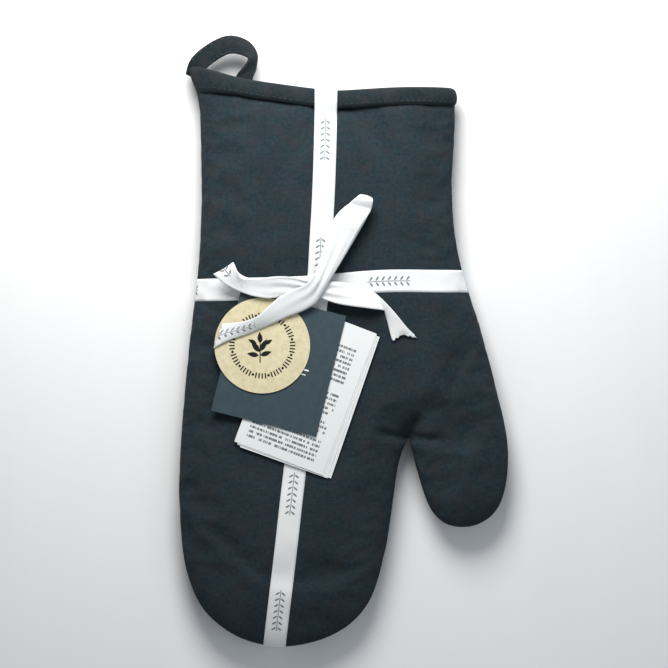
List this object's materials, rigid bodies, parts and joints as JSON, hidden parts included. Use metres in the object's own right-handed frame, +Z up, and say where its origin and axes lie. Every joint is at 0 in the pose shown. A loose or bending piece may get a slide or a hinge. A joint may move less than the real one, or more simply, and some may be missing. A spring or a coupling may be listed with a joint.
{
  "type": "oven mitt",
  "caption": "Padded oven mitt with bound cuff and hanging loop, tied with a gift ribbon and bow that hold a round tag, a card and a folded leaflet.",
  "frame": {"origin": "middle of the bottom of the whole object as it lies on its back", "axes": "+Z up out of the front face, +Y towards the cuff and its hanging loop, +X towards the thumb"},
  "size_m": [0.1844, 0.3429, 0.0389],
  "materials": {
    "outer_cloth": "fine slubbed linen-look weave, matt, dark slate grey",
    "lining_cloth": "plain cotton, matt",
    "batting": "loose undyed cotton batting",
    "binding_cloth": "bias-cut strip of the outer cloth, folded over the cuff edge and sewn",
    "thread": "matching sewing thread",
    "loop_tape": "folded and sewn tape of the outer cloth",
    "ribbon": null,
    "kraft_board": null,
    "slate_card": "matt slate-green card",
    "leaflet_paper": null
  },
  "bodies": {
    "mitt": {"outer_front": "outer_cloth", "outer_back": "outer_cloth", "batting_front": "batting", "batting_back": "batting", "lining_front": "lining_cloth", "lining_back": "lining_cloth", "seam_allowance": "outer_cloth", "cuff_binding": "binding_cloth", "binding_stitch_line": "thread", "ribbon_length_front": "ribbon", "ribbon_length_back": "ribbon", "ribbon_cross_front": "ribbon", "ribbon_cross_back": "ribbon", "ribbon_knot": "ribbon", "bow_loop_upper": "ribbon", "bow_loop_left": "ribbon", "bow_tail_left": "ribbon", "bow_tail_right": "ribbon", "tag_strand": "ribbon"},
    "thumb": {"thumb_outer_front": "outer_cloth", "thumb_outer_back": "outer_cloth", "thumb_batting_front": "batting", "thumb_batting_back": "batting", "thumb_lining_front": "lining_cloth", "thumb_lining_back": "lining_cloth", "thumb_seam_allowance": "outer_cloth"},
    "loop": {"hanging_loop": "loop_tape"},
    "round_tag": {"round_tag": "kraft_board"},
    "card_tag": {"card_tag": "slate_card"},
    "leaflet": {"leaflet_outer_sheet": "leaflet_paper", "leaflet_inner_sheet": "leaflet_paper"}
  },
  "joints": [
    {"name": "thumb_flex", "type": "hinge", "parent": "mitt", "child": "thumb", "pos_m": [0.05575, -0.02225, 0.02575], "axis": [-0.5125, -0.8587, 0], "range_deg": [0, 55]},
    {"name": "loop_swing", "type": "hinge", "parent": "mitt", "child": "loop", "pos_m": [-0.0667, 0.15175, 0.01365], "axis": [0.9896, -0.1438, 0], "range_deg": [-30, 75]},
    {"name": "round_tag_swivel", "type": "hinge", "parent": "mitt", "child": "round_tag", "pos_m": [-0.0295, 0.0145, 0.02765], "axis": [0, 0, 1], "range_deg": [-40, 20]},
    {"name": "card_tag_swivel", "type": "hinge", "parent": "mitt", "child": "card_tag", "pos_m": [-0.0295, 0.0145, 0.02765], "axis": [0, 0, 1], "range_deg": [-40, 5]},
    {"name": "leaflet_swivel", "type": "hinge", "parent": "mitt", "child": "leaflet", "pos_m": [-0.0295, 0.0145, 0.02765], "axis": [0, 0, 1], "range_deg": [-40, 5]}
  ]
}
